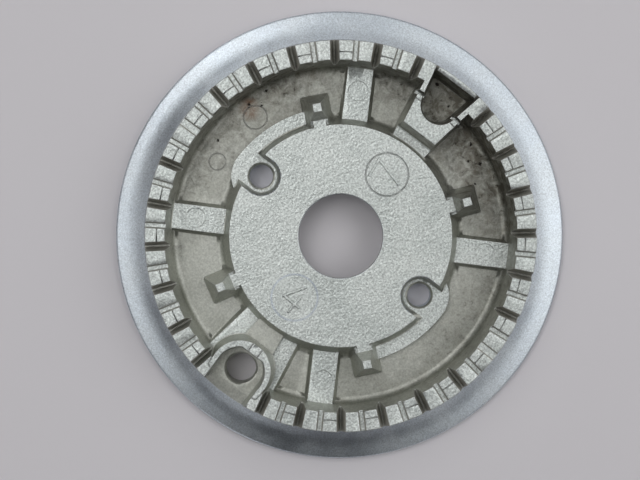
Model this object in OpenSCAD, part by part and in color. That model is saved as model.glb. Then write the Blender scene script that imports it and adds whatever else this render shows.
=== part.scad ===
// Gas hob burner head: one aluminium die casting with a ring of flame ports round a
// gas channel. The cap rests on the port ring; the casting lies on its flat flange.
// Frame: origin on the axis at the underside, +Z up to the cap, +X to the electrode hole.

/* [Port ring] */
// Outer diameter of the port ring at its top
ring_d = 87.5; // [86:0.5:110]
// Radial width of the port ring at its top
ring_w = 4.4; // [3.6:0.1:5.4]
// Overall height, from the flange seat to the top of the ring
height = 12.5; // [12:0.5:18]
// Draft of the ring's outer face
ring_outer_draft = 4.5; // [2:0.5:6]
// Draft of the ring's inner face
ring_inner_draft = 8.5; // [6:0.5:10]

/* [Flame ports] */
// Angle from one main port to the next
port_pitch_a = 13; // [13:0.05:13.2]
// Main ports on each side, counted from the thermocouple pocket
ports_a_side = 12; // [8:1:12]
// Angle of the port beside the electrode, from the electrode hole
end_port_a = 12; // [11.5:0.1:12.5]
// Port on each side that is left almost closed, behind a cap screw
closed_port = 7; // [1:1:8]
// Width of a main port at the top
port_w = 2.1; // [1.6:0.1:2.5]
// Width of a main port at its floor
port_floor_w = 0.5; // [0.4:0.1:1]
// Depth of a main port
port_depth = 5.5; // [4:0.1:6]
// Depth of an almost closed port
closed_port_depth = 0.5; // [0.3:0.1:1]
// Width of an almost closed port at its floor
closed_floor_w = 1.5; // [1.2:0.1:1.6]
// Width of a retention port, the fine slot between two main ports
fine_w = 1.45; // [1:0.05:1.8]
// Width of a retention port at its floor
fine_floor_w = 0.9; // [0.6:0.05:1]
// Depth of a retention port
fine_depth = 1.1; // [0.6:0.1:2]
// Radius of the cap seat's hairline groove, from the ring's inner edge
hairline_from_inner = 1.65; // [1:0.05:2.5]
// Width of a hairline groove
hairline_w = 0.3; // [0.2:0.05:0.5]

/* [Flange] */
// Flange width beyond the foot of the ring
brim_w = 7.25; // [5:0.25:12]
// Thickness of the flange at its rim
brim_t = 2; // [1.6:0.1:3]
// Rise of the flange's upper face from the rim to the ring
brim_rise = 1; // [0.2:0.1:1.2]
// Drop of the ring's outer wall below the port outlets
outlet_drop = 2.4; // [1:0.1:3]
// Width of the slope between the ring's foot and the flange
slope_w = 2.8; // [1.5:0.1:4]
// Fillet where the slope meets the flange
slope_fillet = 14; // [2:1:16]
// Rounding of the flange's upper rim
rim_round = 0.6; // [0.3:0.1:0.9]

/* [Gas channel] */
// Width of the channel at the top, from ring to disc
channel_w = 14.25; // [13:0.05:16]
// Depth of the channel below the ring's top
channel_depth = 9; // [8:0.1:9.5]
// Fillet at the foot of the ring
channel_fillet = 1.6; // [0.6:0.1:2]

/* [Disc] */
// Drop of the disc's face below the ring's top
disc_drop = 4; // [3.5:0.1:4.5]
// Thickness of the disc
disc_t = 2.2; // [1.8:0.1:2.8]
// Draft of the disc's edge
disc_draft = 21; // [12:0.5:24]
// Fillet at the foot of the disc
disc_fillet = 1.6; // [0.6:0.1:2]
// Diameter of the gas inlet in the middle
inlet_d = 19; // [14:0.5:21]
// Diameter of the two ring marks on the disc
ring_mark_d = 10; // [8:0.1:10.6]

/* [Screw seats] */
// Distance from a screw hole's centre in to the disc's edge
screw_inset = 2.7; // [2.5:0.05:3.5]
// Diameter of a screw hole
screw_hole_d = 5.3; // [4.2:0.1:5.5]
// Diameter of the chamfer at a screw hole's mouth
screw_chamfer_d = 6.3; // [5.8:0.1:6.6]
// Width of the recess that takes the screw's head, at the disc's face
screw_seat_d = 8.9; // [8.5:0.1:9.2]
// Width of the terrace outside the disc's edge
terrace_w = 4.15; // [3.5:0.05:4.5]
// Angle that a terrace runs from its screw back to a cap post
terrace_a = 38; // [20:1:40]

/* [Pads] */
// Width of an ejector pad at its top
pad_w = 5.7; // [5:0.1:7]
// Draft of the sides of the pads
pad_draft = 28; // [20:1:32]
// Height of the pads and terraces above the channel floor
pad_h = 1.5; // [1:0.1:2]
// Angle of the first ejector pad; the others follow at 90 degrees
pad_a = 30; // [28:1:32]
// Diameter of an ejector pin's witness mark
ejector_d = 4.5; // [3:0.1:5.5]
// Diameters of the die insert's and the core pin's round marks on the channel floor
insert_d = 5.7; // [4:0.1:7]
core_pin_d = 4.1; // [3:0.1:5]

/* [Cap posts] */
// Side of a post's flat top
post_top_w = 1.8; // [1.4:0.1:2.6]
// Width of a post at the channel floor
post_foot_w = 6.6; // [4.8:0.1:7]
// Rounding of a post's foot corners
post_foot_round = 0.8; // [0.4:0.1:1.2]
// Distance from the disc's edge to the middle of a post's top
post_from_disc = 4.1; // [3.6:0.05:4.6]
// Distance from the disc's edge to a post's foot on the ring side
post_foot_from_disc = 7.3; // [6.5:0.05:8]
// Width of the neck from disc to post
neck_w = 2.85; // [2.4:0.05:4]

/* [Thermocouple pocket] */
// Width of the block at the ring's inner edge
tc_block_w = 12.4; // [12:0.1:13]
// Half the angle between the block's sides
tc_block_a = 10; // [8:0.5:11]
// Distance from the disc's edge to the block's top
tc_top_from_disc = 3.75; // [3:0.05:4.5]
// Drop of the block's step below the disc's face
tc_step_drop = 1.7; // [0.4:0.1:2]
// Diameter of the pocket's round end
tc_arch_d = 8.8; // [8:0.1:9]
// Distance from the ring's inner edge in to the centre of the round end
tc_arch_inset = 2.75; // [2:0.05:3.5]
// Half the angle between the pocket's sides
tc_pocket_a = 12; // [11:0.5:13]
// Draft of the walls of block and pocket
tc_draft = 6; // [3:0.5:7]
// Thickness of the wall left between pocket and flange
tc_crest_w = 1.25; // [1:0.05:1.6]
// Width and depth of the slot at either end of that wall
tc_end_slot_w = 0.6; // [0.4:0.05:0.8]
tc_end_slot_depth = 1.5; // [0.5:0.1:2]
// Width of the two gas slots that feed the pocket
tc_slot_w = 0.95; // [0.6:0.05:1.2]

/* [Electrode pocket] */
// Diameter of the electrode hole
electrode_d = 6.8; // [5:0.1:7]
// Diameter of the chamfer at the electrode hole's mouth
electrode_chamfer_d = 7.7; // [7.4:0.1:7.8]
// Distance from the ring's inner edge in to the electrode hole's centre
electrode_inset = 2; // [1.6:0.05:2.4]
// Half the width between the arms of the horseshoe, at the top
electrode_pocket_r = 5.7; // [5.5:0.05:5.8]
// Distance from the hole's centre out to the centre of the pocket's round end
pocket_offset = 0.4; // [0.2:0.05:0.6]
// Distance from the hole's centre out to the centre of the horseshoe's round outside
lip_offset = 0.15; // [0:0.05:0.4]
// Width of the lip along the arms
lip_w = 1.1; // [0.9:0.05:1.2]
// Width of the lip in front of the hole
lip_front_w = 2.1; // [1.6:0.1:2.4]
// Depth of the pocket below the lip
electrode_pocket_depth = 5.9; // [4:0.1:6]
// Draft of the pocket's walls
lip_draft = 5; // [3:0.5:8]
// Draft of the horseshoe's outer wall
lip_outer_draft = 8; // [5:0.5:9]
// Distance between the two hairlines across the lip
lip_mark_gap = 2.5; // [1.5:0.1:3.5]
// How far the arms reach into the port ring
arm_reach = 1.3; // [1:0.05:1.6]
// Width of the electrode's base next to the disc
base_w = 13.9; // [13:0.1:15]
// Half the angle between the sides of that base
base_a = 9.4; // [8:0.1:10]
// Half the angle that the bridge to the disc spans
bridge_a = 7.3; // [6:0.1:8]
// Drop of the bridge below the disc's face
bridge_drop = 2.4; // [1:0.1:2.6]

/* [Underside] */
// Thickness of walls cored out from below
wall_t = 2; // [1.6:0.1:2.4]
// Width of the seat ring between channel and port ring
seat_ring_w = 2.1; // [1.6:0.1:3]
// Radius of a screw boss
screw_boss_r = 6; // [5.6:0.1:6.4]
// Radius of the electrode boss
electrode_boss_r = 5.4; // [5:0.1:6]

/* [Hidden] */

// Roundness of full circles, and how far one shape reaches into another
$fn = 144;
sink = 0.5;
over = 1;
reach = 200;

// How far a flat stays inside the round face that it runs into
seam = 0.05;

// Small edge radii of the casting
edge_r = 0.2;
core_edge_r = 0.3;
core_corner_r = 0.7;
core_draft = 2;
step_fillet = 0.8;

// Drafts of the smaller features
neck_draft = 13;
post_in_draft = 24;
tc_front_draft = 9.5;
lip_front_draft = 3;
seat_lean = 0.8;

// Depths of the marks that the die leaves
mark_depth = 0.15;
ring_mark_depth = 0.25;
ring_mark_w = 0.35;

// Heights
floor_z = height - channel_depth;
disc_z = height - disc_drop;
port_z = height - port_depth;
pad_z = floor_z + pad_h;

// Radii at the top of each feature
ring_out_r = ring_d / 2;
ring_in_r = ring_out_r - ring_w;
disc_r = ring_in_r - channel_w;
inlet_r = inlet_d / 2;
screw_r = disc_r - screw_inset;
electrode_r = ring_in_r - electrode_inset;
tc_arch_x = ring_in_r - tc_arch_inset;
mark_r = (inlet_r + disc_r) / 2;

// Radii where drafted faces reach a lower level
ring_foot_r = ring_out_r + port_depth * tan(ring_outer_draft);
channel_out_r = ring_in_r - channel_depth * tan(ring_inner_draft);
channel_in_r = disc_r + (disc_z - floor_z) * tan(disc_draft);
slope_top_r = ring_foot_r + outlet_drop * tan(ring_outer_draft);
slope_foot_r = slope_top_r + slope_w;
slope_foot_z = brim_t + brim_rise;
flange_r = ring_out_r + brim_w;

// Fillet of the slope, no larger than the slope and the flange can hold
slope_rise_a = atan((port_z - outlet_drop - slope_foot_z) / slope_w);
brim_rise_a = atan(brim_rise / (flange_r - slope_foot_r));
slope_hold = min(slope_w / cos(slope_rise_a), (flange_r - slope_foot_r) / cos(brim_rise_a));
slope_bend_a = abs(slope_rise_a - brim_rise_a);
slope_round = min(slope_fillet, 0.7 * slope_hold / tan(slope_bend_a / 2));

// Cored recesses below
seat_out_r = channel_out_r + seat_ring_w;
ring_core_z = port_z - wall_t - core_edge_r;
ring_core_out_r = ring_foot_r - wall_t;
channel_core_z = floor_z - wall_t;
disc_core_z = disc_z - disc_t;
disc_core_r = disc_r + disc_t * tan(disc_draft) - wall_t;
core_in_r = disc_core_r + disc_core_z * tan(core_draft);

// Horseshoe round the electrode
lip_r = electrode_pocket_r + lip_w;
lip_x = electrode_r + lip_offset;
lip_front_x = lip_x - lip_r + seam;
electrode_pocket_x = electrode_r + pocket_offset;
pocket_front_x = lip_front_x + lip_front_w;

// Points on the axis of block, pocket and base where their side planes would meet
tc_block_x = ring_in_r - tc_block_w / 2 / tan(tc_block_a);
tc_pocket_x = tc_arch_x - (tc_arch_d / 2 + seam) / sin(tc_pocket_a);
base_x = disc_r - base_w / 2 / tan(base_a);

// Angles: the thermocouple pocket lies opposite the electrode hole
tc_a = 180;
screw_as = [90, 270];
post_as = [48.5, 142.3, 227.6, 329.7];
pad_as = [for (k = [0:3]) pad_a + 90 * k];
main_offsets = [for (k = [1:ports_a_side]) if (k != closed_port) port_pitch_a * k];
end_offset = tc_a - end_port_a;
last_offset = port_pitch_a * ports_a_side;
main_as = [for (s = [-1, 1]) each [for (o = [each main_offsets, end_offset]) tc_a + s * o]];
closed_as = [for (s = [-1, 1]) tc_a + s * port_pitch_a * closed_port];
insert_a = screw_as[1] - 17.3;
core_pin_a = screw_as[1] + 6;
fine_offsets = [each [for (k = [1:ports_a_side - 1]) port_pitch_a * (k + 0.5)],
                (last_offset + end_offset) / 2];
fine_as = [for (s = [-1, 1]) each [for (o = fine_offsets) tc_a + s * o]];

// Corners of a closed outline, each [x, y, radius], with every corner rounded
function unit(v) = v / norm(v);
function turned(v, a) = [v.x * cos(a) - v.y * sin(a), v.x * sin(a) + v.y * cos(a)];
function corner_arc(p, q, s, r, steps) =
    let (u = unit(p - q), v = unit(s - q), half = acos(u * v) / 2,
         middle = q + unit(u + v) * r / sin(half),
         first = q + u * r / tan(half) - middle,
         way = cross(u, v) > 0 ? -1 : 1)
    [for (k = [0:steps]) middle + turned(first, way * (180 - 2 * half) * k / steps)];
function xy(c) = [c.x, c.y];
function rounded(corners, steps = 6) = let (n = len(corners)) [
    for (i = [0:n - 1])
        let (c = corners[i])
        each c.z == 0 ? [xy(c)]
            : corner_arc(xy(corners[(i + n - 1) % n]), xy(c), xy(corners[(i + 1) % n]), c.z, steps)
];

// Half section of the casting: the upper face from the inlet out to the rim, then the
// underside back in, with one core below the ports, one below the channel, one below the disc
section = [
    [inlet_r, disc_z, edge_r],
    [disc_r, disc_z, edge_r],
    [channel_in_r, floor_z, disc_fillet],
    [channel_out_r, floor_z, channel_fillet],
    [ring_in_r, height, edge_r],
    [ring_out_r, height, edge_r],
    [slope_top_r, port_z - outlet_drop, edge_r],
    [slope_foot_r, slope_foot_z, slope_round],
    [flange_r, brim_t, rim_round],
    [flange_r, 0, core_edge_r],
    [ring_core_out_r + ring_core_z * tan(core_draft), 0, core_edge_r],
    [ring_core_out_r, ring_core_z, core_corner_r],
    [seat_out_r + ring_core_z * tan(core_draft), ring_core_z, core_corner_r],
    [seat_out_r, 0, core_edge_r],
    [channel_out_r, 0, core_edge_r],
    [channel_out_r, channel_core_z, core_corner_r],
    [channel_in_r + core_edge_r, channel_core_z, core_corner_r],
    [channel_in_r + core_edge_r, 0, core_edge_r],
    [core_in_r, 0, core_edge_r],
    [disc_core_r, disc_core_z, core_corner_r],
    [inlet_r, disc_core_z, edge_r],
];

// A bar along +X whose section tapers from width w0 at height z0 to w1 at z1
module bar(x0, x1, z0, z1, w0, w1) {
    translate([x0, 0, 0]) rotate([90, 0, 90]) linear_extrude(x1 - x0)
        polygon([[-w0 / 2, z0], [w0 / 2, z0], [w1 / 2, z1], [-w1 / 2, z1]]);
}

// A wide prism across X with the outline given as [x, z]
module across(outline) {
    rotate([90, 0, 0]) linear_extrude(reach / 4, center = true) polygon(outline);
}

// The space between two upright planes that meet at x and open by half_a to either side.
// They lean apart by the draft below height z, or together where the draft is negative
module wedge(x, half_a, z, draft) {
    translate([x, 0, z]) intersection_for (s = [-1, 1])
        rotate([0, 0, s * half_a]) rotate([s * draft, 0, 0])
            translate([0, s > 0 ? -reach : 0, -reach / 2]) cube([reach, reach, reach]);
}

// A ring of rectangular section
module ring(r0, r1, z0, z1) {
    rotate_extrude() translate([r0, z0]) square([r1 - r0, z1 - z0]);
}

// A slot that runs out through the port ring along +X
module port(depth, top_w, floor_w) {
    spread = (top_w - floor_w) / depth;
    bar(channel_out_r, ring_foot_r + over, height - depth, height + over, floor_w, top_w + over * spread);
}

module main_ports() {
    for (a = main_as) rotate(a) port(port_depth, port_w, port_floor_w);
}

module closed_ports() {
    for (a = closed_as) rotate(a) port(closed_port_depth, port_w, closed_floor_w);
}

module fine_ports() {
    for (a = fine_as) rotate(a) port(fine_depth, fine_w, fine_floor_w);
}

// Hairline grooves across the tooth that follows each retention port
module hairlines() {
    groove_r = ring_in_r + hairline_from_inner;
    fine_half_a = asin(fine_w / 2 / groove_r);
    span_a = port_pitch_a / 2 - fine_half_a;
    for (a = fine_as) rotate(a + fine_half_a)
        rotate_extrude(angle = span_a)
            translate([groove_r, height - hairline_w]) square([hairline_w, hairline_w + over]);
}

// Raised pads on the channel floor, where the ejector pins push
module pads() {
    for (a = pad_as) rotate(a)
        bar(disc_r, channel_out_r + sink, floor_z - sink, pad_z,
            pad_w + 2 * (pad_h + sink) * tan(pad_draft), pad_w);
}

// Round groove that a pin or an insert of the die leaves
module round_mark(x, z, d, w, depth) {
    translate([x, 0, 0]) ring(d / 2 - w, d / 2, z - depth, z + over);
}

// Witness marks of the ejector pins, of an insert and a core pin on the channel floor, and
// the disc's two ring marks: one sunk with a sloping edge, the other a groove
module witness_marks() {
    floor_r = (channel_in_r + channel_out_r) / 2 + sink;
    sunk_h = ring_mark_depth + over;
    for (a = pad_as) rotate(a) translate([floor_r, 0, pad_z - mark_depth])
        cylinder(h = over, r = ejector_d / 2);
    rotate(insert_a) round_mark(floor_r, floor_z, insert_d, hairline_w, mark_depth);
    rotate(core_pin_a) round_mark(floor_r - sink, floor_z, core_pin_d, hairline_w, mark_depth);
    translate([mark_r, 0, disc_z - ring_mark_depth])
        cylinder(h = sunk_h, r1 = ring_mark_d / 2, r2 = ring_mark_d / 2 + sunk_h);
    rotate(180) round_mark(mark_r, disc_z, ring_mark_d, ring_mark_w, ring_mark_depth);
}

// A post that keeps the cap in the middle: a slim pyramid with a neck to the disc
module post() {
    rise = height - floor_z + sink;
    foot_z = floor_z - sink;
    top_x = disc_r + post_from_disc;
    top_in_x = top_x - post_top_w / 2;
    top_out_x = top_x + post_top_w / 2;
    foot_out_x = disc_r + post_foot_from_disc;
    foot_y = post_foot_w / 2 + seam;
    side_lean = (post_foot_w - post_top_w) / 2 * rise / (height - floor_z);
    out_lean = (foot_out_x - top_out_x) * rise / (height - floor_z);
    intersection() {
        bar(disc_r - sink, foot_out_x + over, foot_z, height,
            post_top_w + 2 * side_lean, post_top_w);
        across([
            [disc_r - sink, foot_z],
            [top_out_x + out_lean, foot_z],
            [top_out_x, height],
            [top_in_x, height],
            [top_in_x - disc_drop * tan(post_in_draft), disc_z],
            [disc_r - sink, disc_z - 2 * sink],
        ]);
        linear_extrude(height + over) polygon(rounded([
            [disc_r - over, -foot_y, 0],
            [foot_out_x + seam, -foot_y, post_foot_round],
            [foot_out_x + seam, foot_y, post_foot_round],
            [disc_r - over, foot_y, 0],
        ]));
    }
    bar(disc_r - sink, top_x, foot_z, disc_z,
        neck_w + 2 * (disc_z - foot_z) * tan(neck_draft), neck_w);
}

// Low terrace round a screw seat, from the seat back to the nearest post
module terrace() {
    out_r = disc_r + terrace_w;
    flat_a = 2;
    translate([0, 0, floor_z - sink]) linear_extrude(pad_h + sink) difference() {
        union() {
            intersection() {
                circle(r = out_r);
                polygon([[0, 0], reach * [1, tan(flat_a)], reach * [1, 0],
                         reach * [cos(terrace_a), -sin(terrace_a)]]);
            }
            translate([screw_r, 0]) circle(r = out_r - screw_r - seam);
        }
        circle(r = core_in_r + sink);
    }
}

// Boss that carries a screw, from the seat down to the underside
module screw_boss() {
    translate([screw_r, 0, 0]) cylinder(h = pad_z - sink, r = screw_boss_r);
    intersection() {
        translate([screw_r, 0, 0]) cylinder(h = disc_z - sink, r = screw_boss_r);
        cylinder(h = disc_z, r = disc_r - sink);
    }
}

// Through hole of diameter d with a chamfer out to diameter mouth_d at height z
module chamfered_hole(x, z, d, mouth_d) {
    chamfer = (mouth_d - d) / 2;
    translate([x, 0, -over]) cylinder(h = z + over, r = d / 2);
    translate([x, 0, z - chamfer])
        cylinder(h = chamfer + seam, r1 = d / 2, r2 = mouth_d / 2 + seam);
}

// Recess for a screw's head, open to the channel, with the screw's hole
module screw_seat() {
    depth = disc_z - pad_z;
    top_r = screw_seat_d / 2 + over * seat_lean / depth;
    floor_r = screw_seat_d / 2 - seat_lean;
    translate([screw_r, 0, pad_z]) cylinder(h = depth + over, r1 = floor_r, r2 = top_r);
    bar(screw_r, disc_r + terrace_w + over, pad_z, disc_z + over,
        2 * (floor_r - seam), 2 * (top_r - seam));
    chamfered_hole(screw_r, pad_z, screw_hole_d, screw_chamfer_d);
}

// Block round the thermocouple pocket, with a lower step next to the disc
module tc_block() {
    top_x = disc_r + tc_top_from_disc;
    step_z = disc_z - tc_step_drop;
    foot_z = floor_z - sink;
    intersection() {
        wedge(tc_block_x, tc_block_a, height, tc_draft);
        across(rounded([
            [disc_r - sink, foot_z, 0],
            [ring_in_r + over, foot_z, 0],
            [ring_in_r + over, height, 0],
            [top_x, height, edge_r],
            [top_x - (height - step_z) * tan(tc_front_draft), step_z, step_fillet],
            [disc_r - sink, step_z, 0],
        ]));
    }
}

// Blind pocket with a round end towards the disc and a crest wall towards the flange, the
// slots at the crest's ends, the gas slots through its sides, and a hairline beside them
module tc_pocket() {
    pocket_z = floor_z + 2 * seam;
    depth = height - pocket_z;
    arch_r = tc_arch_d / 2;
    crest_x = ring_out_r - tc_crest_w;
    crest_w = 2 * ((crest_x - tc_pocket_x) * tan(tc_pocket_a) - tc_end_slot_w);
    slot_z = height - tc_end_slot_depth;
    crest_lean = 2 * tan(tc_draft);
    line_r = tc_arch_x - tc_slot_w / 2 - hairline_w - tc_slot_w;
    translate([tc_arch_x, 0, pocket_z])
        cylinder(h = depth + over, r1 = arch_r - depth * tan(tc_draft),
                 r2 = arch_r + over * tan(tc_draft));
    intersection() {
        wedge(tc_pocket_x, tc_pocket_a, height, -tc_draft);
        union() {
            across([
                [tc_arch_x, pocket_z],
                [crest_x - depth * tan(tc_draft), pocket_z],
                [crest_x + over * tan(tc_draft), height + over],
                [tc_arch_x, height + over],
            ]);
            difference() {
                across([
                    [tc_arch_x, slot_z], [ring_foot_r + over, slot_z],
                    [ring_foot_r + over, height + over], [tc_arch_x, height + over],
                ]);
                bar(crest_x - over, ring_foot_r + 2 * over, slot_z - over, height + 2 * over,
                    crest_w + (tc_end_slot_depth + over) * crest_lean,
                    crest_w - 2 * over * crest_lean);
            }
        }
    }
    intersection() {
        union() {
            ring(tc_arch_x - tc_slot_w / 2, tc_arch_x + tc_slot_w / 2, port_z, height + over);
            ring(line_r, line_r + hairline_w, height - hairline_w, height + over);
        }
        wedge(tc_block_x, tc_block_a + over, height, 0);
    }
}

// Base of the electrode pocket on the channel floor, and the bridge from it to the disc
module electrode_base() {
    bridge_z = disc_z - bridge_drop;
    intersection() {
        wedge(base_x, base_a, pad_z, pad_draft);
        ring(disc_r, channel_out_r + sink, floor_z - sink, pad_z);
    }
    intersection() {
        wedge(0, bridge_a, bridge_z, lip_draft);
        ring(disc_r - sink, lip_front_x + sink, pad_z - sink, bridge_z);
    }
}

// Horseshoe wall round the electrode, as high as the port ring and steep towards the disc
module electrode_wall() {
    foot_z = pad_z - sink;
    rise = height - foot_z;
    spread = rise * tan(lip_outer_draft);
    intersection() {
        union() {
            translate([lip_x, 0, foot_z]) cylinder(h = rise, r1 = lip_r + spread, r2 = lip_r);
            bar(lip_x, ring_in_r + over, foot_z, height,
                2 * (lip_r + spread - seam), 2 * (lip_r - seam));
        }
        across([
            [lip_front_x - rise * tan(lip_front_draft), foot_z], [ring_in_r + 2 * over, foot_z],
            [ring_in_r + 2 * over, height], [lip_front_x, height],
        ]);
    }
}

// Pocket inside the horseshoe, open to the flange, and the electrode's hole
module electrode_pocket() {
    depth = electrode_pocket_depth;
    pocket_z = height - depth;
    spread = tan(lip_draft);
    top_r = electrode_pocket_r + over * spread;
    floor_r = electrode_pocket_r - depth * spread;
    out_x = ring_foot_r + over;
    fall_x = ring_in_r + ring_w / 2;
    intersection() {
        union() {
            translate([electrode_pocket_x, 0, pocket_z])
                cylinder(h = depth + over, r1 = floor_r, r2 = top_r);
            bar(electrode_pocket_x, out_x, pocket_z, height + over,
                2 * (floor_r - seam), 2 * (top_r - seam));
        }
        across([
            [pocket_front_x + depth * spread, pocket_z], [out_x, pocket_z],
            [out_x, height + over], [pocket_front_x - over * spread, height + over],
        ]);
    }
    intersection() {
        bar(fall_x, out_x, pocket_z - over, pocket_z + sink,
            2 * (floor_r - 2 * seam), 2 * (floor_r - seam));
        across([
            [fall_x, pocket_z + sink], [fall_x, pocket_z],
            [out_x, pocket_z - sink], [out_x, pocket_z + sink],
        ]);
    }
    chamfered_hole(electrode_r, pocket_z, electrode_d, electrode_chamfer_d);
}

// Top outline of the end of one arm in the port ring, grown by w
module arm_end(w) {
    tip_x = ring_in_r + arm_reach + w;
    arm_taper = 0.35;
    polygon(rounded([
        [ring_in_r - over, 0, 0],
        [tip_x, 0, 0],
        [tip_x, lip_r - arm_taper + w, sink + w],
        [ring_in_r - over, lip_r + w, 0],
    ]));
}

// Two hairlines across the lip, and the one round each arm's end in the port ring
module lip_marks() {
    for (s = [-1, 1]) {
        translate([0, s * lip_mark_gap / 2, 0])
            bar(lip_front_x - over, pocket_front_x + over, height - hairline_w, height + over,
                hairline_w, hairline_w);
        mirror([0, s < 0 ? 1 : 0, 0])
            translate([0, 0, height - hairline_w]) linear_extrude(hairline_w + over) difference() {
                arm_end(hairline_w);
                arm_end(0);
            }
    }
}

// Boss that carries the electrode below its pocket
module electrode_boss() {
    translate([electrode_r, 0, 0]) cylinder(h = port_z - over, r = electrode_boss_r);
}

// Thick wall below the thermocouple pocket, where the core under the ports is shallower
module tc_floor() {
    intersection() {
        ring(seat_out_r - sink, ring_core_out_r + sink, channel_core_z, ring_core_z + sink);
        wedge(tc_block_x, tc_block_a, ring_core_z, core_draft);
    }
}

// The whole casting
module burner_head() {
    color("#b9bcbb") difference() {
        union() {
            rotate_extrude() polygon(rounded(section));
            pads();
            for (a = post_as) rotate(a) post();
            for (a = screw_as) rotate(a) {
                terrace();
                screw_boss();
            }
            rotate(tc_a) {
                tc_block();
                tc_floor();
            }
            electrode_base();
            electrode_wall();
            electrode_boss();
        }
        main_ports();
        closed_ports();
        fine_ports();
        hairlines();
        for (a = screw_as) rotate(a) screw_seat();
        rotate(tc_a) tc_pocket();
        electrode_pocket();
        lip_marks();
        witness_marks();
    }
}

burner_head();
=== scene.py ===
# %% [markdown]
# # A burner head in die-cast aluminium
# This file dresses the cast head of a gas hob burner. The head is one casting: a flange that
# rises in a soft roll to a ring of teeth, flame ports between the teeth, a gas channel, and a
# disc in the middle with the gas inlet. The solid comes ready-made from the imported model, so
# the lesson is about surfaces: how a casting gets smooth round faces from a heap of loose
# triangles, how one metal takes several finishes, and how light brings them out.
# Blender works in metres, and a size in millimetres times MM is in metres. The origin is on
# the burner's axis at the flange's underside, and +X points at the electrode hole.

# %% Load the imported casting
import math

import bmesh
import bpy
from mathutils import Matrix, Vector


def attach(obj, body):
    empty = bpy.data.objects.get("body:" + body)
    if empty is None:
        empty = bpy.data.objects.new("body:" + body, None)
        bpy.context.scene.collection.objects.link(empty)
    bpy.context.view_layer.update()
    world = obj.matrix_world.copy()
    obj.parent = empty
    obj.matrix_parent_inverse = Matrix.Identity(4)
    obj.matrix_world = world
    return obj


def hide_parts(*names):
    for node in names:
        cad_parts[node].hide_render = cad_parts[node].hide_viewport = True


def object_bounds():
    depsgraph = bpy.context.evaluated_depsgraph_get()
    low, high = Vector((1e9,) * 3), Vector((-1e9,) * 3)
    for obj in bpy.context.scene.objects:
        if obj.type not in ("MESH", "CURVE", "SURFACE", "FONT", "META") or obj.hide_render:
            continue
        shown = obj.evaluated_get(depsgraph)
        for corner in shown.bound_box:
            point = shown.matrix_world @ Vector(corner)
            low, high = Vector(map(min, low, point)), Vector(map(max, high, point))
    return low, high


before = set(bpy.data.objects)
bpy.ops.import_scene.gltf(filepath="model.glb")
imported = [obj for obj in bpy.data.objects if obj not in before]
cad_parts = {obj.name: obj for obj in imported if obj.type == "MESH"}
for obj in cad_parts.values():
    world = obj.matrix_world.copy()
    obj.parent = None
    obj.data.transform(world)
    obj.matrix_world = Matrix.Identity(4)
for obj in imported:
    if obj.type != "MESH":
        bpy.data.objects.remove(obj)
MM = 0.001
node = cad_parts["burner_head"]
cad_box = [list(corner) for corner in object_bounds()]
print("casting:", len(node.data.polygons), "triangles, box", cad_box)

# %% [markdown]
# ## One skin from loose triangles
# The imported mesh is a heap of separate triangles, so each would shade flat and every fillet
# would show as facets. Three ways out: a subdivision surface, which would soften the sharp
# teeth; a remesh, which would need millions of faces to keep a 0.3 mm groove; or joining the
# corners that share a place and smoothing the shading only across gentle bends. The last one
# keeps every edge where the designer put it, so that is the way here.
# Flat faces that touch are joined too. A long thin triangle is a poor guide to the light, and
# a whole tooth top as one face is a good one.

# %% Join the corners and the flat faces
SMOOTH_BELOW = math.radians(32)
FLAT_BELOW = math.radians(0.1)
WELD = 0.0002 * MM


def skin_of(source, name):
    mesh = source.data.copy()
    mesh.name = name
    shape = bmesh.new()
    shape.from_mesh(mesh)
    bmesh.ops.remove_doubles(shape, verts=shape.verts, dist=WELD)
    bmesh.ops.dissolve_degenerate(shape, edges=shape.edges, dist=WELD)
    bmesh.ops.dissolve_limit(shape, angle_limit=FLAT_BELOW, use_dissolve_boundaries=False,
                             verts=shape.verts, edges=shape.edges, delimit={"NORMAL"})
    for face in shape.faces:
        face.smooth = True
    shape.to_mesh(mesh)
    shape.free()
    mesh.materials.clear()
    mesh.set_sharp_from_angle(angle=SMOOTH_BELOW)
    piece = bpy.data.objects.new(name, mesh)
    bpy.context.scene.collection.objects.link(piece)
    return piece


casting = skin_of(node, "casting_skin")
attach(casting, "root")
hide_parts("burner_head")
print("skin:", len(casting.data.vertices), "corners,", len(casting.data.polygons), "faces")

# %% [markdown]
# ## A mark that reads through the grain
# One cavity mark is sunk into the disc, a quarter of a millimetre deep with a narrow sloped
# wall. A face this grainy swallows a step so low, while on the real head it reads at a glance.
# So its floor goes down to SUNK and its upper rim goes out by WIDER. Moving corners that are
# already there gives a wider slope with no new faces. The sizes below are in millimetres, and
# CLOSE_R and CLOSE_Z say how near a corner must be to count as one of the mark's own.

# %% Deepen the sunk mark
DISC_Z, MARK_AT, MARK_FLOOR_R, MARK_RIM_R = 8.5, 17.3, 5.0, 5.25
CAD_SUNK, SUNK, WIDER = 0.25, 0.4, 0.2
CLOSE_R, CLOSE_Z = 0.02, 0.01


def deepen_mark(mesh):
    moved = 0
    for corner in mesh.vertices:
        x, y, z = corner.co / MM
        reach = math.hypot(x - MARK_AT, y)
        if reach < MARK_FLOOR_R + CLOSE_R and abs(z - DISC_Z + CAD_SUNK) < CLOSE_Z:
            corner.co.z = (DISC_Z - SUNK) * MM
            moved += 1
        elif abs(reach - MARK_RIM_R) < CLOSE_R and abs(z - DISC_Z) < CLOSE_Z:
            grow = (reach + WIDER) / reach
            corner.co.x = (MARK_AT + (x - MARK_AT) * grow) * MM
            corner.co.y = y * grow * MM
            moved += 1
    return moved


print("mark corners moved:", deepen_mark(casting.data))

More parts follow.
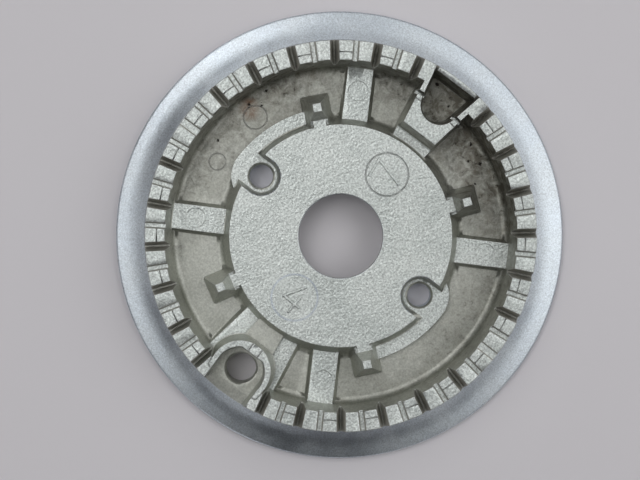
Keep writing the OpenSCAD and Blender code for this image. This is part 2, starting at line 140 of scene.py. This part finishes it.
# %% [markdown]
# ## Flat faces stay flat, fillets stay round
# Blender blends the normals of the faces round each corner, which tips the edge of a flat
# tooth top towards its fillet and leaves a smudge. A Weighted Normal modifier helps, but it
# still mixes in every neighbour. Here the faces round a corner with no sharp edge between them
# make a fan. If the largest face is at least LEAD times as large as the rest of its fan, it
# gives them all its own normal. If not, they share a mean that is weighted by area. So a flat
# top stays flat up to its edge, and the fillet does all the bending.

# %% Let the largest face lead at each corner
LEAD = 4


def take_fan(faces, corner, left):
    fan, reach = set(), [left.pop()]
    while reach:
        here = reach.pop()
        fan.add(here)
        for edge in faces[here].edges:
            if edge.smooth and corner in edge.verts:
                for face in edge.link_faces:
                    if face.index in left:
                        left.discard(face.index)
                        reach.append(face.index)
    return fan


def leading_normals(mesh):
    shape = bmesh.new()
    shape.from_mesh(mesh)
    shape.faces.ensure_lookup_table()
    size = [face.calc_area() for face in shape.faces]
    normals = [None] * len(mesh.loops)
    for corner in shape.verts:
        left = {face.index for face in corner.link_faces}
        while left:
            fan = take_fan(shape.faces, corner, left)
            leader = max(fan, key=lambda index: size[index])
            rest = sum(size[index] for index in fan) - size[leader]
            lead = shape.faces[leader].normal.copy()
            if size[leader] < LEAD * rest:
                lead = sum((shape.faces[index].normal * size[index] for index in fan),
                           Vector()).normalized()
            for index in fan:
                for loop in shape.faces[index].loops:
                    if loop.vert is corner:
                        normals[loop.index] = lead
    shape.free()
    mesh.normals_split_custom_set(normals)
    return len(normals)


print("corner normals set:", leading_normals(casting.data))

# %% [markdown]
# ## A hand-sized tool kit for nodes
# A procedural material is a net of small nodes. One function adds a node, sets its
# properties and fills its sockets, each with a number, a colour or another node, whose first
# output in use is then linked. Colours are written as the hex values that a colour picker
# shows, and one function turns them into the linear light that a renderer works in.

# %% The tool kit
def hex_colour(code):
    parts = [int(code[i:i + 2], 16) / 255 for i in (1, 3, 5)]
    return [p / 12.92 if p <= 0.04045 else ((p + 0.055) / 1.055) ** 2.4 for p in parts] + [1]


def output_of(made):
    return next(out for out in made.outputs if out.enabled)


def add(tree, kind, sockets=None, **properties):
    made = tree.nodes.new("ShaderNode" + kind)
    for key, value in properties.items():
        setattr(made, key, value)
    for key, value in (sockets or {}).items():
        if isinstance(value, bpy.types.Node):
            value = output_of(value)
        if isinstance(value, bpy.types.NodeSocket):
            tree.links.new(value, made.inputs[key])
        else:
            made.inputs[key].default_value = value
    return made


print("mid grey #808080 is", round(hex_colour("#808080")[0], 3), "in linear light")

# %% [markdown]
# ## Worn edges and painted shade in corners
# Wear belongs to edges, which hands and cleaning pads rub bright. A Bevel node gives a rounded
# normal, and where that and the true one part there is an edge. Corners and grooves get
# painted
# shade: an Ambient Occlusion node with a reach under a millimetre finds them, and the colour
# is darkened there. Both could be painted on by hand, but then each edge would need its own
# stroke.
# The shares say how much of the metal's own colour the wear and the painted shade can hide.

# %% Rub the edges bright and paint shade into the corners
EDGE_RADIUS, WORN, WORN_SHARE = 0.26 * MM, "#E4E6E6", 0.5
# The dark colour below is painted shade, mixed in where corners and grooves are hidden from
# the open sky.
PAINTED_SHADE_REACH, PAINTED_SHADE_COLOUR, PAINTED_SHADE_SHARE = 0.55 * MM, "#4C4A44", 0.7


def worn_edges_and_painted_shade(tree, colour, eased):
    true = add(tree, "NewGeometry").outputs["Normal"]
    facing = add(tree, "VectorMath", {0: eased, 1: true}, operation="DOT_PRODUCT")
    edge = add(tree, "MapRange", {"Value": facing.outputs["Value"], "From Min": 0.99,
                                  "From Max": 0.85, "To Max": WORN_SHARE})
    colour = add(tree, "Mix", {0: edge, 6: colour, 7: hex_colour(WORN)}, data_type="RGBA")
    # Ambient occlusion paints shade into the colour: the more a point is hidden, the darker it
    # is made.
    open_sky = add(tree, "AmbientOcclusion", {"Distance": PAINTED_SHADE_REACH}, samples=6)
    painted_shade = add(tree, "MapRange", {"Value": open_sky.outputs["AO"], "From Min": 0.75,
                                   "From Max": 0.30, "To Max": PAINTED_SHADE_SHARE})
    return add(tree, "Mix", {0: painted_shade, 6: colour, 7: hex_colour(PAINTED_SHADE_COLOUR)}, data_type="RGBA")


print("worn edges:", EDGE_RADIUS / MM, "mm, grime reaches", PAINTED_SHADE_REACH / MM, "mm")

# %% [markdown]
# ## Dents on two scales
# Shot and the mould's own texture leave dents, and under them the face swells a little over
# a millimetre or two. Real dents would take millions of faces, so two Bump nodes, one on top
# of the other, tilt the normals instead. The swells are SWELL_WIDTH dents wide, and a low
# strength keeps them gentle.

# %% Bump the face
SWELL_WIDTH, SWELL_HEIGHT, SWELL_STRENGTH = 4, 2, 0.4


def dented(tree, place, eased, dent, dent_depth):
    swell = add(tree, "TexNoise", {"Vector": place, "Scale": 1 / (dent * SWELL_WIDTH),
                                   "Detail": 2.0})
    low = add(tree, "Bump", {"Height": swell, "Strength": SWELL_STRENGTH,
                             "Distance": dent_depth * SWELL_HEIGHT, "Normal": eased})
    dents = add(tree, "TexNoise", {"Vector": place, "Scale": 0.8 / dent, "Detail": 3.0,
                                   "Roughness": 0.6})
    return add(tree, "Bump", {"Height": dents, "Strength": 1.0, "Distance": dent_depth,
                              "Normal": low})


print("swells under the dents:", SWELL_WIDTH, "dents wide")

# %% [markdown]
# ## The metal and its skin
# Die-cast aluminium comes out of a steel mould with a thin bright skin. On the flange it is
# satin and a little blue. On the teeth, the disc and the pads it was blasted with shot: a
# field of tiny dents, 0.3 to 0.6 mm apart, which scatter the light and make it look pale and
# slightly green. Heat, gas and boiled-over food stain the channel, and soot settles in the
# narrow ports, whose walls are also given a darker colour as painted shade.
# All four finishes share one recipe: a metal whose colour wanders slowly from pale to deep,
# whose roughness wanders with it, and whose specks are brighter or darker by grain. Only the
# values differ, and the channel has a stain besides, so the recipe is a function and each
# finish is one call. bare is how much of the face acts as metal: soot covers the rest.
# A noise node's values crowd round 0.5. CRISP and SOFT are the stretches of them that a Map
# Range node spreads out, for a strong pattern and for a mild one.

# %% The shared recipe for cast metal
CRISP = {"From Min": 0.35, "From Max": 0.65}
SOFT = {"From Min": 0.3, "From Max": 0.7}
CLOUD_SIZE = 9 * MM
ROUGH_SWING = 0.05


def cast_metal(name, pale, deep, rough, dent, dent_depth, grain, bare=1.0, stain=None):
    material = bpy.data.materials.new(name)
    material.use_nodes = True
    tree = material.node_tree
    shader = tree.nodes["Principled BSDF"]
    place = add(tree, "TexCoord").outputs["Object"]
    cloud = add(tree, "TexNoise", {"Vector": place, "Scale": 1 / CLOUD_SIZE, "Detail": 4.0})
    tint = add(tree, "MapRange", {"Value": cloud, **CRISP})
    colour = add(tree, "Mix", {0: tint, 6: hex_colour(deep), 7: hex_colour(pale)},
                 data_type="RGBA")
    speck = add(tree, "TexNoise", {"Vector": place, "Scale": 1 / dent, "Detail": 3.0,
                                   "Roughness": 0.7})
    shade = add(tree, "MapRange", {"Value": speck, **CRISP, "To Min": 1 - grain,
                                   "To Max": 1 + grain})
    colour = add(tree, "Mix", {0: 1.0, 6: colour, 7: shade}, data_type="RGBA",
                 blend_type="MULTIPLY")
    dull = add(tree, "MapRange", {"Value": cloud, **SOFT, "To Min": rough - ROUGH_SWING,
                                  "To Max": rough + ROUGH_SWING})
    if stain:
        colour, dull = stain(tree, place, colour, dull)
    eased = add(tree, "Bevel", {"Radius": EDGE_RADIUS}, samples=4)
    colour = worn_edges_and_painted_shade(tree, colour, eased)
    bump = dented(tree, place, eased, dent, dent_depth)
    for socket, value in (("Base Color", colour), ("Roughness", dull), ("Normal", bump)):
        tree.links.new(output_of(value), shader.inputs[socket])
    shader.inputs["Metallic"].default_value = bare
    return material


print("clouds of colour and roughness:", CLOUD_SIZE / MM, "mm")

# %% [markdown]
# ## Specks where something boiled over
# Food that boils over burns to black specks on the channel's floor, and one patch there is
# the brown of rust. Each is given by its bearing in degrees, its radius and its size in
# millimetres. A speck is what lies near that point: full up to about half its size from
# there, and gone a quarter past it. Fine noise moves the distance, so the rim is ragged.

# %% Specks and a rust patch
FLOOR_Z = 3.5
SPECKS = [(269, 35.1, 0.42), (252, 36.0, 0.4), (248, 34.6, 0.3), (244, 36.8, 0.32),
          (154.2, 35.8, 0.42), (184.3, 40.7, 0.5), (177.1, 38.4, 0.3), (157, 33.5, 0.22),
          (148, 33.0, 0.22), (162, 36.2, 0.3)]
RUST = [(252.7, 35.4, 2.4)]
SPECK_COLOUR, RUST_COLOUR, RUST_SHARE = "#2E2B28", "#86654E", 0.5
SPECK_GONE, SPECK_FULL = 1.25, 0.55
TEAR_SIZE, RAGGED = 0.7 * MM, 0.4 * MM


def on_floor(bearing, radius):
    a = math.radians(bearing)
    return [radius * math.cos(a) * MM, radius * math.sin(a) * MM, FLOOR_Z * MM]


def near(tree, place, spots, ragged):
    reach = None
    for bearing, radius, size in spots:
        far = add(tree, "VectorMath", {0: place, 1: on_floor(bearing, radius)},
                  operation="DISTANCE").outputs["Value"]
        far = add(tree, "Math", {0: far, 1: ragged}, operation="ADD")
        mask = add(tree, "MapRange", {"Value": far, "From Min": size * SPECK_GONE * MM,
                                      "From Max": size * SPECK_FULL * MM})
        reach = mask if reach is None else add(tree, "Math", {0: reach, 1: mask},
                                               operation="MAXIMUM")
    return reach


def speckled(tree, place, colour, patchy):
    tear = add(tree, "TexNoise", {"Vector": place, "Scale": 1 / TEAR_SIZE, "Detail": 3.0,
                                  "Roughness": 0.7})
    ragged = add(tree, "MapRange", {"Value": tear, **SOFT, "To Min": -RAGGED,
                                    "To Max": RAGGED})
    rust = add(tree, "Math", {0: near(tree, place, RUST, ragged), 1: patchy},
               operation="MULTIPLY", use_clamp=True)
    rust = add(tree, "Math", {0: rust, 1: RUST_SHARE}, operation="MULTIPLY")
    colour = add(tree, "Mix", {0: rust, 6: colour, 7: hex_colour(RUST_COLOUR)},
                 data_type="RGBA")
    burnt = near(tree, place, SPECKS, ragged)
    return add(tree, "Mix", {0: burnt, 6: colour, 7: hex_colour(SPECK_COLOUR)},
               data_type="RGBA")


print("burnt specks:", len(SPECKS))

# %% [markdown]
# ## Stains that belong to a place
# The gas channel isn't stained evenly. It is burnt brown on both sides of the thermocouple
# block, grey under the next few ports, and nearly clean near the electrode. Painting a mask
# by hand would need an image; here a colour ramp runs once round the axis, and its stops say
# how stained each bearing is. Noise shifts the bearing, so no patch has a straight edge, and
# the stain grows from the disc out to the ring, where the flames are. Inside it are darker
# crumbs of burnt food, and the more it is stained, the duller the metal gets.

# %% How stained each place is
STAIN_BY_BEARING = [(0, 0.10), (30, 0.20), (67, 0.35), (95, 0.35), (127, 0.55), (142, 0.80),
                    (152, 0.95), (167, 0.95), (180, 0.75), (197, 0.60), (225, 0.45),
                    (240, 0.75), (255, 0.60), (275, 0.50), (300, 0.35), (317, 0.10),
                    (342, 0.05)]
DRIFT_ANGLE = 0.2
INNER_R, OUTER_R = 29 * MM, 37 * MM
INNER_STAIN, OUTER_STAIN = 0.55, 1.15


def stain_level(tree, place, drift, patchy):
    split = add(tree, "SeparateXYZ", {"Vector": place})
    angle = add(tree, "Math", {0: split.outputs["Y"], 1: split.outputs["X"]},
                operation="ARCTAN2")
    shift = add(tree, "MapRange", {"Value": drift, **SOFT, "To Min": -DRIFT_ANGLE,
                                   "To Max": DRIFT_ANGLE})
    angle = add(tree, "Math", {0: angle, 1: shift}, operation="ADD")
    turn = add(tree, "MapRange", {"Value": angle, "From Min": -math.pi, "From Max": math.pi},
               clamp=False)
    turn = add(tree, "Math", {0: turn}, operation="FRACT")
    ramp = add(tree, "ValToRGB", {"Fac": turn})
    stops = sorted((((a + 180) % 360) / 360, v) for a, v in STAIN_BY_BEARING)
    while len(ramp.color_ramp.elements) < len(stops):
        ramp.color_ramp.elements.new(0.5)
    for element, (at, level) in zip(ramp.color_ramp.elements, stops):
        element.position = at
        element.color = (level, level, level, 1)
    distance = add(tree, "VectorMath", {0: place}, operation="LENGTH").outputs["Value"]
    outer = add(tree, "MapRange", {"Value": distance, "From Min": INNER_R,
                                   "From Max": OUTER_R, "To Min": INNER_STAIN,
                                   "To Max": OUTER_STAIN})
    level = add(tree, "Math", {0: ramp, 1: patchy}, operation="MULTIPLY")
    return add(tree, "Math", {0: level, 1: outer}, operation="MULTIPLY", use_clamp=True)


print("bearings with a stain level:", len(STAIN_BY_BEARING))

# %% Colour the stain
DRIFT_SIZE, BLOTCH_SIZE, CRUMB_SIZE = 5 * MM, 2.2 * MM, 1.1 * MM
BURNT_GREY, BURNT_BROWN = "#64635C", "#78746A"
CRUMB_COLOUR, CRUMB_SHARE = "#3A3630", 0.8
STAIN_DULLS = 0.08


def channel_stain(tree, place, colour, dull):
    drift = add(tree, "TexNoise", {"Vector": place, "Scale": 1 / DRIFT_SIZE, "Detail": 5.0,
                                   "Roughness": 0.65})
    blotch = add(tree, "TexNoise", {"Vector": place, "Scale": 1 / BLOTCH_SIZE, "Detail": 5.0,
                                    "Roughness": 0.7, "Distortion": 0.6})
    patchy = add(tree, "MapRange", {"Value": blotch, **CRISP, "To Min": 0.35,
                                    "To Max": 1.3})
    level = stain_level(tree, place, drift, patchy)
    brown = add(tree, "MapRange", {"Value": drift, **CRISP})
    tone = add(tree, "Mix", {0: brown, 6: hex_colour(BURNT_GREY), 7: hex_colour(BURNT_BROWN)},
               data_type="RGBA")
    colour = add(tree, "Mix", {0: level, 6: colour, 7: tone}, data_type="RGBA")
    crumb = add(tree, "TexNoise", {"Vector": place, "Scale": 1 / CRUMB_SIZE, "Detail": 3.0,
                                   "Roughness": 0.6})
    crumb = add(tree, "MapRange", {"Value": crumb, "From Min": 0.60, "From Max": 0.70,
                                   "To Max": CRUMB_SHARE})
    crumb = add(tree, "Math", {0: crumb, 1: level}, operation="MULTIPLY")
    colour = add(tree, "Mix", {0: crumb, 6: colour, 7: hex_colour(CRUMB_COLOUR)},
                 data_type="RGBA")
    colour = speckled(tree, place, colour, patchy)
    duller = add(tree, "Math", {0: level, 1: STAIN_DULLS}, operation="MULTIPLY")
    dull = add(tree, "Math", {0: dull, 1: duller}, operation="ADD")
    return colour, dull


print("stain blotches:", BLOTCH_SIZE / MM, "mm, crumbs", CRUMB_SIZE / MM, "mm")

# %% [markdown]
# ## Four finishes
# The values are chosen for what the eye should get. Base colours are those of cast aluminium,
# a paler grey than steel.
# Shot-blasted: deep dents, strong grain and a roughness near 0.46, so it is pale and matt and
# shows no lamp at all.
# Satin: shallow dents and a roughness near 0.37, so a lamp draws a wide soft streak on it.
# Heat-stained: about as smooth as satin, but oxide dulls it to 0.5 and more, so it is a quiet
# grey between the stains.
# Sooted: soot is not a metal, so the face mirrors less than half as much, and the walls of
# the ports turn a flat dull grey. Its colour, darker than the teeth's, is partly painted shade
# for the narrow ports.

# %% Make the four finishes
blasted = cast_metal("shot_blasted_cast_aluminium", "#D6DBD8", "#C9CFCC", rough=0.46,
                     dent=0.45 * MM, dent_depth=0.13 * MM, grain=0.3)
satin = cast_metal("satin_die_cast_aluminium", "#CED5DA", "#C4CCD3", rough=0.37,
                   dent=0.34 * MM, dent_depth=0.036 * MM, grain=0.2)
channel = cast_metal("heat_stained_cast_aluminium", "#C8CAC3", "#B2B4AC", rough=0.5,
                     dent=0.45 * MM, dent_depth=0.04 * MM, grain=0.16, stain=channel_stain)
# The sooted finish is soot and painted shade: its darker colour stands in for the shade on the
# port walls.
soot_and_shade = cast_metal("sooted_and_shade_painted_cast_aluminium", "#B4B3AB", "#96958C", rough=0.6,
                   dent=0.45 * MM, dent_depth=0.04 * MM, grain=0.16, bare=0.4)
FINISHES = [blasted, satin, channel, soot_and_shade]
print("finishes:", [finish.name for finish in FINISHES])

# %% [markdown]
# ## Which face gets which finish
# Every feature of the casting has its own height and radius, so a face's place and the way it
# faces tell what it is part of: a tooth top, the wall of a port, the channel's floor. That
# sorts all faces at once, with no painting. The first test that fits decides.
# Sizes are in millimetres. SLACK is how far above or below a level a face may lie, and
# TOP_SLACK and LIP_SLACK let the soft edges of the teeth and of the horseshoe's lip count as
# their tops. UPWARD, DOWNWARD, OUTWARD and ALONG_RING are limits for the share of a face's
# normal that points up or outwards: 1 is all of it. The bridge to the horseshoe lies a little
# above the pads and keeps the channel's finish.

# %% Sort the faces
BLASTED, SATIN, CHANNEL, SOOT_AND_SHADE = range(4)
TOP_Z = cad_box[1][2] / MM
PORT_Z, BRIDGE_Z, PAD_Z, UNDERSIDE_Z = 7.0, 6.1, 5.0, 2.9
FINE_PORT_Z = PORT_Z + 1
DISC_R, RING_IN_R, RING_OUT_R = 25.1, 39.35, 43.75
WALL_IN_R, WALL_OUT_R, FLANGE_R = RING_OUT_R - 0.1, RING_OUT_R + 1, RING_OUT_R + 0.5
PORT_R, PAD_R = RING_IN_R - 1, RING_IN_R - 0.3
HORSESHOE_X, HORSESHOE_HALF_W = 31, 8
BLOCK_X, BLOCK_HALF_W = -30, 6.6
SLACK, TOP_SLACK, LIP_SLACK, DISC_SLACK = 0.2, 0.35, 0.4, 0.6
UPWARD, DOWNWARD, OUTWARD, ALONG_RING = 0.8, -0.3, 0.8, 0.6


def finish_of(centre, normal):
    x, y, z = (c / MM for c in centre)
    r = math.hypot(x, y)
    up = normal.z > UPWARD
    outward = (normal.x * x + normal.y * y) / max(r, 1)
    ring_wall = WALL_IN_R < r < WALL_OUT_R and outward > OUTWARD
    below = normal.z < DOWNWARD or z < UNDERSIDE_Z and r < RING_OUT_R
    on_disc = z > DISC_Z - DISC_SLACK and r < DISC_R - DISC_SLACK
    on_horseshoe = x > HORSESHOE_X and abs(y) < HORSESHOE_HALF_W and z > PAD_Z + SLACK
    by_block = x < BLOCK_X and abs(y) < BLOCK_HALF_W
    in_port = r > PORT_R and z > PORT_Z - SLACK and abs(outward) < ALONG_RING
    on_pad = r < PAD_R and z > PAD_Z - SLACK and abs(z - BRIDGE_Z) > SLACK
    if ring_wall:
        return BLASTED
    if below or r > FLANGE_R:
        return SATIN
    if on_disc:
        return BLASTED if up else SATIN
    if on_horseshoe:
        return BLASTED if up and z > TOP_Z - LIP_SLACK else CHANNEL
    if up and z > TOP_Z - TOP_SLACK:
        return BLASTED
    if in_port and not by_block:
        if not up:
            # Port walls that don't face up get the sooted finish: soot, and a darker colour as
            # painted shade.
            return SOOT_AND_SHADE
        return BLASTED if z > FINE_PORT_Z else CHANNEL
    return BLASTED if up and on_pad else CHANNEL


for finish in FINISHES:
    casting.data.materials.append(finish)
counts = [0] * len(FINISHES)
for face in casting.data.polygons:
    face.material_index = finish_of(face.center, face.normal)
    counts[face.material_index] += 1
print("faces by finish:", dict(zip([finish.name for finish in FINISHES], counts)))

# %% [markdown]
# ## Cavity numbers
# A mould with several cavities stamps each casting with the cavity's number, inside a ring on
# the disc. The number is a groove in the mould, so it stands proud on the casting, as thin
# ridges. A text object would give the even strokes of print; here each stroke is a bar of its
# own with rounded long edges, as an engraver's cutter leaves it. The digits are generic.
# Each stroke is written from 0 to 1 across and up the digit, and its foot goes STROKE_SINK
# into the casting, so that no gap shows under it. The digit in the ring groove stands lower
# than the other, by RINGED_LOWER. A digit turns about its own middle, from +X towards +Y.

# %% Two raised digits
STROKE_W, STROKE_H, STROKE_SINK = 0.55 * MM, 0.38 * MM, 0.3 * MM
ROUND_OFF = 0.4
DIGIT_H, DIGIT_W = 6.6 * MM, 4.2 * MM
STROKES = {"4": [((0.62, 1), (0, 0.32)), ((0, 0.32), (1, 0.32)), ((0.74, 0.62), (0.74, 0))],
           "7": [((0, 1), (1, 1)), ((1, 1), (0.34, 0))]}
SUNK_TURN, RINGED_TURN = math.radians(87), math.radians(187)
RINGED_LOWER = 0.1 * MM


def object_of(shape, name, material):
    mesh = bpy.data.meshes.new(name)
    shape.to_mesh(mesh)
    shape.free()
    mesh.materials.append(material)
    made = bpy.data.objects.new(name, mesh)
    bpy.context.scene.collection.objects.link(made)
    return made


def add_stroke(shape, a, b):
    tall = STROKE_H + STROKE_SINK
    bar = bmesh.ops.create_cube(shape, size=1)["verts"]
    bmesh.ops.scale(shape, verts=bar, vec=((b - a).length + STROKE_W, STROKE_W, tall))
    edges = dict.fromkeys(edge for v in bar for edge in v.link_edges)
    long_edges = [edge for edge in edges if all(v.co.z > 0 for v in edge.verts)]
    rounded = bmesh.ops.bevel(shape, geom=long_edges, offset=STROKE_W * ROUND_OFF,
                              offset_type="OFFSET", affect="EDGES", segments=3,
                              profile=0.5, material=-1)
    bar = list(dict.fromkeys([v for v in bar if v.is_valid] + rounded["verts"]))
    way = Matrix.Translation((a + b) / 2) @ Matrix.Rotation(
        math.atan2(b.y - a.y, b.x - a.x), 4, "Z")
    bmesh.ops.transform(shape, matrix=way, verts=bar)


def raised_digit(name, digit, x, foot_z, turn):
    shape = bmesh.new()
    for stroke in STROKES[digit]:
        a, b = (Vector(((u - 0.5) * DIGIT_W, (v - 0.5) * DIGIT_H, 0)) for u, v in stroke)
        add_stroke(shape, a, b)
    place = Matrix.Translation((x, 0, foot_z + (STROKE_H - STROKE_SINK) / 2))
    bmesh.ops.transform(shape, matrix=place @ Matrix.Rotation(turn, 4, "Z"), verts=shape.verts)
    for face in shape.faces:
        face.smooth = True
    piece = object_of(shape, name, blasted)
    piece.data.set_sharp_from_angle(angle=SMOOTH_BELOW)
    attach(piece, "root")
    return piece


sunk_digit = raised_digit("cavity_digit_sunk", "4", MARK_AT * MM, (DISC_Z - SUNK) * MM,
                          SUNK_TURN)
ringed_digit = raised_digit("cavity_digit_ringed", "7", -MARK_AT * MM,
                            DISC_Z * MM - RINGED_LOWER, RINGED_TURN)
print("digits:", sunk_digit.name, ringed_digit.name)

# %% [markdown]
# ## Floor
# A sheet of matt paper under the casting, pale enough to lift the shadow sides a little. One
# square face is all it takes, far wider than the casting, so that its edge is out of sight.

# %% Lay the floor
FLOOR_SIDE = 3.0
paper = bpy.data.materials.new("matt_paper")
paper.use_nodes = True
paper_shader = paper.node_tree.nodes["Principled BSDF"]
paper_shader.inputs["Base Color"].default_value = hex_colour("#D9D6DA")
paper_shader.inputs["Roughness"].default_value = 0.9
shape = bmesh.new()
bmesh.ops.create_grid(shape, x_segments=1, y_segments=1, size=FLOOR_SIDE / 2)
floor = object_of(shape, "floor", paper)
print("floor:", FLOOR_SIDE, "m square")

# %% [markdown]
# ## Backdrop
# A low wall of paper stands in a circle on the floor, so that a view from the side has
# something pale behind the casting. A lit wall would throw light back on it. This one glows
# only for the camera and for what is seen in metal or glass, which Light Path tells apart, so
# it adds a background and no light to the floor.

# %% Put up the backdrop
BACKDROP_R, BACKDROP_H, BACKDROP_SEGMENTS = 1.49, 0.5, 64
glow = bpy.data.materials.new("backdrop_paper")
glow.use_nodes = True
tree = glow.node_tree
ray = add(tree, "LightPath")
seen = add(tree, "Math", {0: ray.outputs["Is Camera Ray"], 1: ray.outputs["Is Glossy Ray"]},
           operation="MAXIMUM")
seen = add(tree, "Math", {0: seen, 1: ray.outputs["Is Transmission Ray"]},
           operation="MAXIMUM")
light = add(tree, "Emission", {"Color": hex_colour("#98969A"), "Strength": seen})
tree.links.new(output_of(light), tree.nodes["Material Output"].inputs["Surface"])
shape = bmesh.new()
bmesh.ops.create_cone(shape, segments=BACKDROP_SEGMENTS, radius1=BACKDROP_R,
                      radius2=BACKDROP_R, depth=BACKDROP_H,
                      matrix=Matrix.Translation((0, 0, BACKDROP_H / 2)))
backdrop = object_of(shape, "backdrop", glow)
print("backdrop:", BACKDROP_H, "m high")

# %% [markdown]
# ## Camera
# The camera looks down from 46 cm, about two degrees off the vertical. Its lens takes in a
# view 146 mm wide at the flange's height, so the casting fills most of the picture's height.
# It aims a little to the left of the axis and below it. RIGHT and UP are the directions on
# the floor that point right and up in the picture. A longer lens from farther off would show
# less of the ring's walls.

# %% Set the camera
VIEW_WIDTH, RIM_Z = 145.99, 2
CAMERA_D = 460 * MM
RIGHT_A, UP_A = math.radians(127), math.radians(217)
RIGHT = Vector((math.cos(RIGHT_A), math.sin(RIGHT_A), 0))
UP = Vector((math.cos(UP_A), math.sin(UP_A), 0))
LEAN_UP, LEAN_LEFT = math.tan(math.radians(1.44)), math.tan(math.radians(1.60))
AIM_LEFT, AIM_DOWN = 4.546, 1.038
AIM = (RIGHT * -AIM_LEFT + UP * -AIM_DOWN + Vector((0, 0, RIM_Z))) * MM
eye = (Vector((0, 0, 1)) + UP * LEAN_UP - RIGHT * LEAN_LEFT).normalized() * CAMERA_D
back = (eye - AIM).normalized()
side = UP.cross(back).normalized()
lens = bpy.data.cameras.new("camera")
lens.sensor_width = 36
lens.lens = lens.sensor_width * (CAMERA_D / MM - RIM_Z) / VIEW_WIDTH
camera = bpy.data.objects.new("camera", lens)
camera.matrix_world = Matrix.Translation(eye) @ Matrix(
    (side, back.cross(side), back)).transposed().to_4x4()
bpy.context.scene.collection.objects.link(camera)
bpy.context.scene.camera = camera
print("camera: lens", round(lens.lens, 1), "mm")

# %% [markdown]
# ## Lamps
# Bare metal shows the room more than its own colour, so the lamps are wide soft discs all
# round: strong on the right and at the upper left, weak on the near side. No lamp is straight
# above, where the camera is, and flat faces that mirror it stay calm. The lamps hang in rows,
# one row for each height in degrees, and each has its bearing in the picture, from the right
# towards the top, and its strength in watts. The world adds nothing.

# %% Hang the lamps
LAMP_SIZE, LAMP_DISTANCE = 0.5, 1.0
LAMPS = {
    12: [(120, 0.71), (240, 0.41), (300, 0.25)],
    32: [(0, 0.65), (30, 0.6), (60, 0.38), (90, 0.48), (180, 0.32), (330, 0.26)],
    52: [(0, 0.84), (30, 0.46), (60, 0.6), (120, 1.24), (180, 0.44), (210, 0.58), (300, 0.18),
         (330, 0.54)],
    72: [(150, 1.67)],
}


def lamp(name, bearing, height, watts):
    a, e = math.radians(bearing), math.radians(height)
    spot = (RIGHT * math.cos(a) + UP * math.sin(a)) * math.cos(e) + Vector((0, 0, math.sin(e)))
    data = bpy.data.lights.new(name, "AREA")
    data.shape = "DISK"
    data.size = LAMP_SIZE
    data.energy = watts
    made = bpy.data.objects.new(name, data)
    made.location = spot * LAMP_DISTANCE
    made.rotation_euler = spot.to_track_quat("Z", "Y").to_euler()
    bpy.context.scene.collection.objects.link(made)


for height, row in LAMPS.items():
    for bearing, watts in row:
        lamp(f"lamp_{height}_{bearing}", bearing, height, watts)
world = bpy.data.worlds.new("studio")
world.use_nodes = True
bpy.context.scene.world = world
world.node_tree.nodes["Background"].inputs["Strength"].default_value = 0.0
bpy.context.scene.view_settings.view_transform = "Standard"
print("lamps:", sum(len(row) for row in LAMPS.values()))
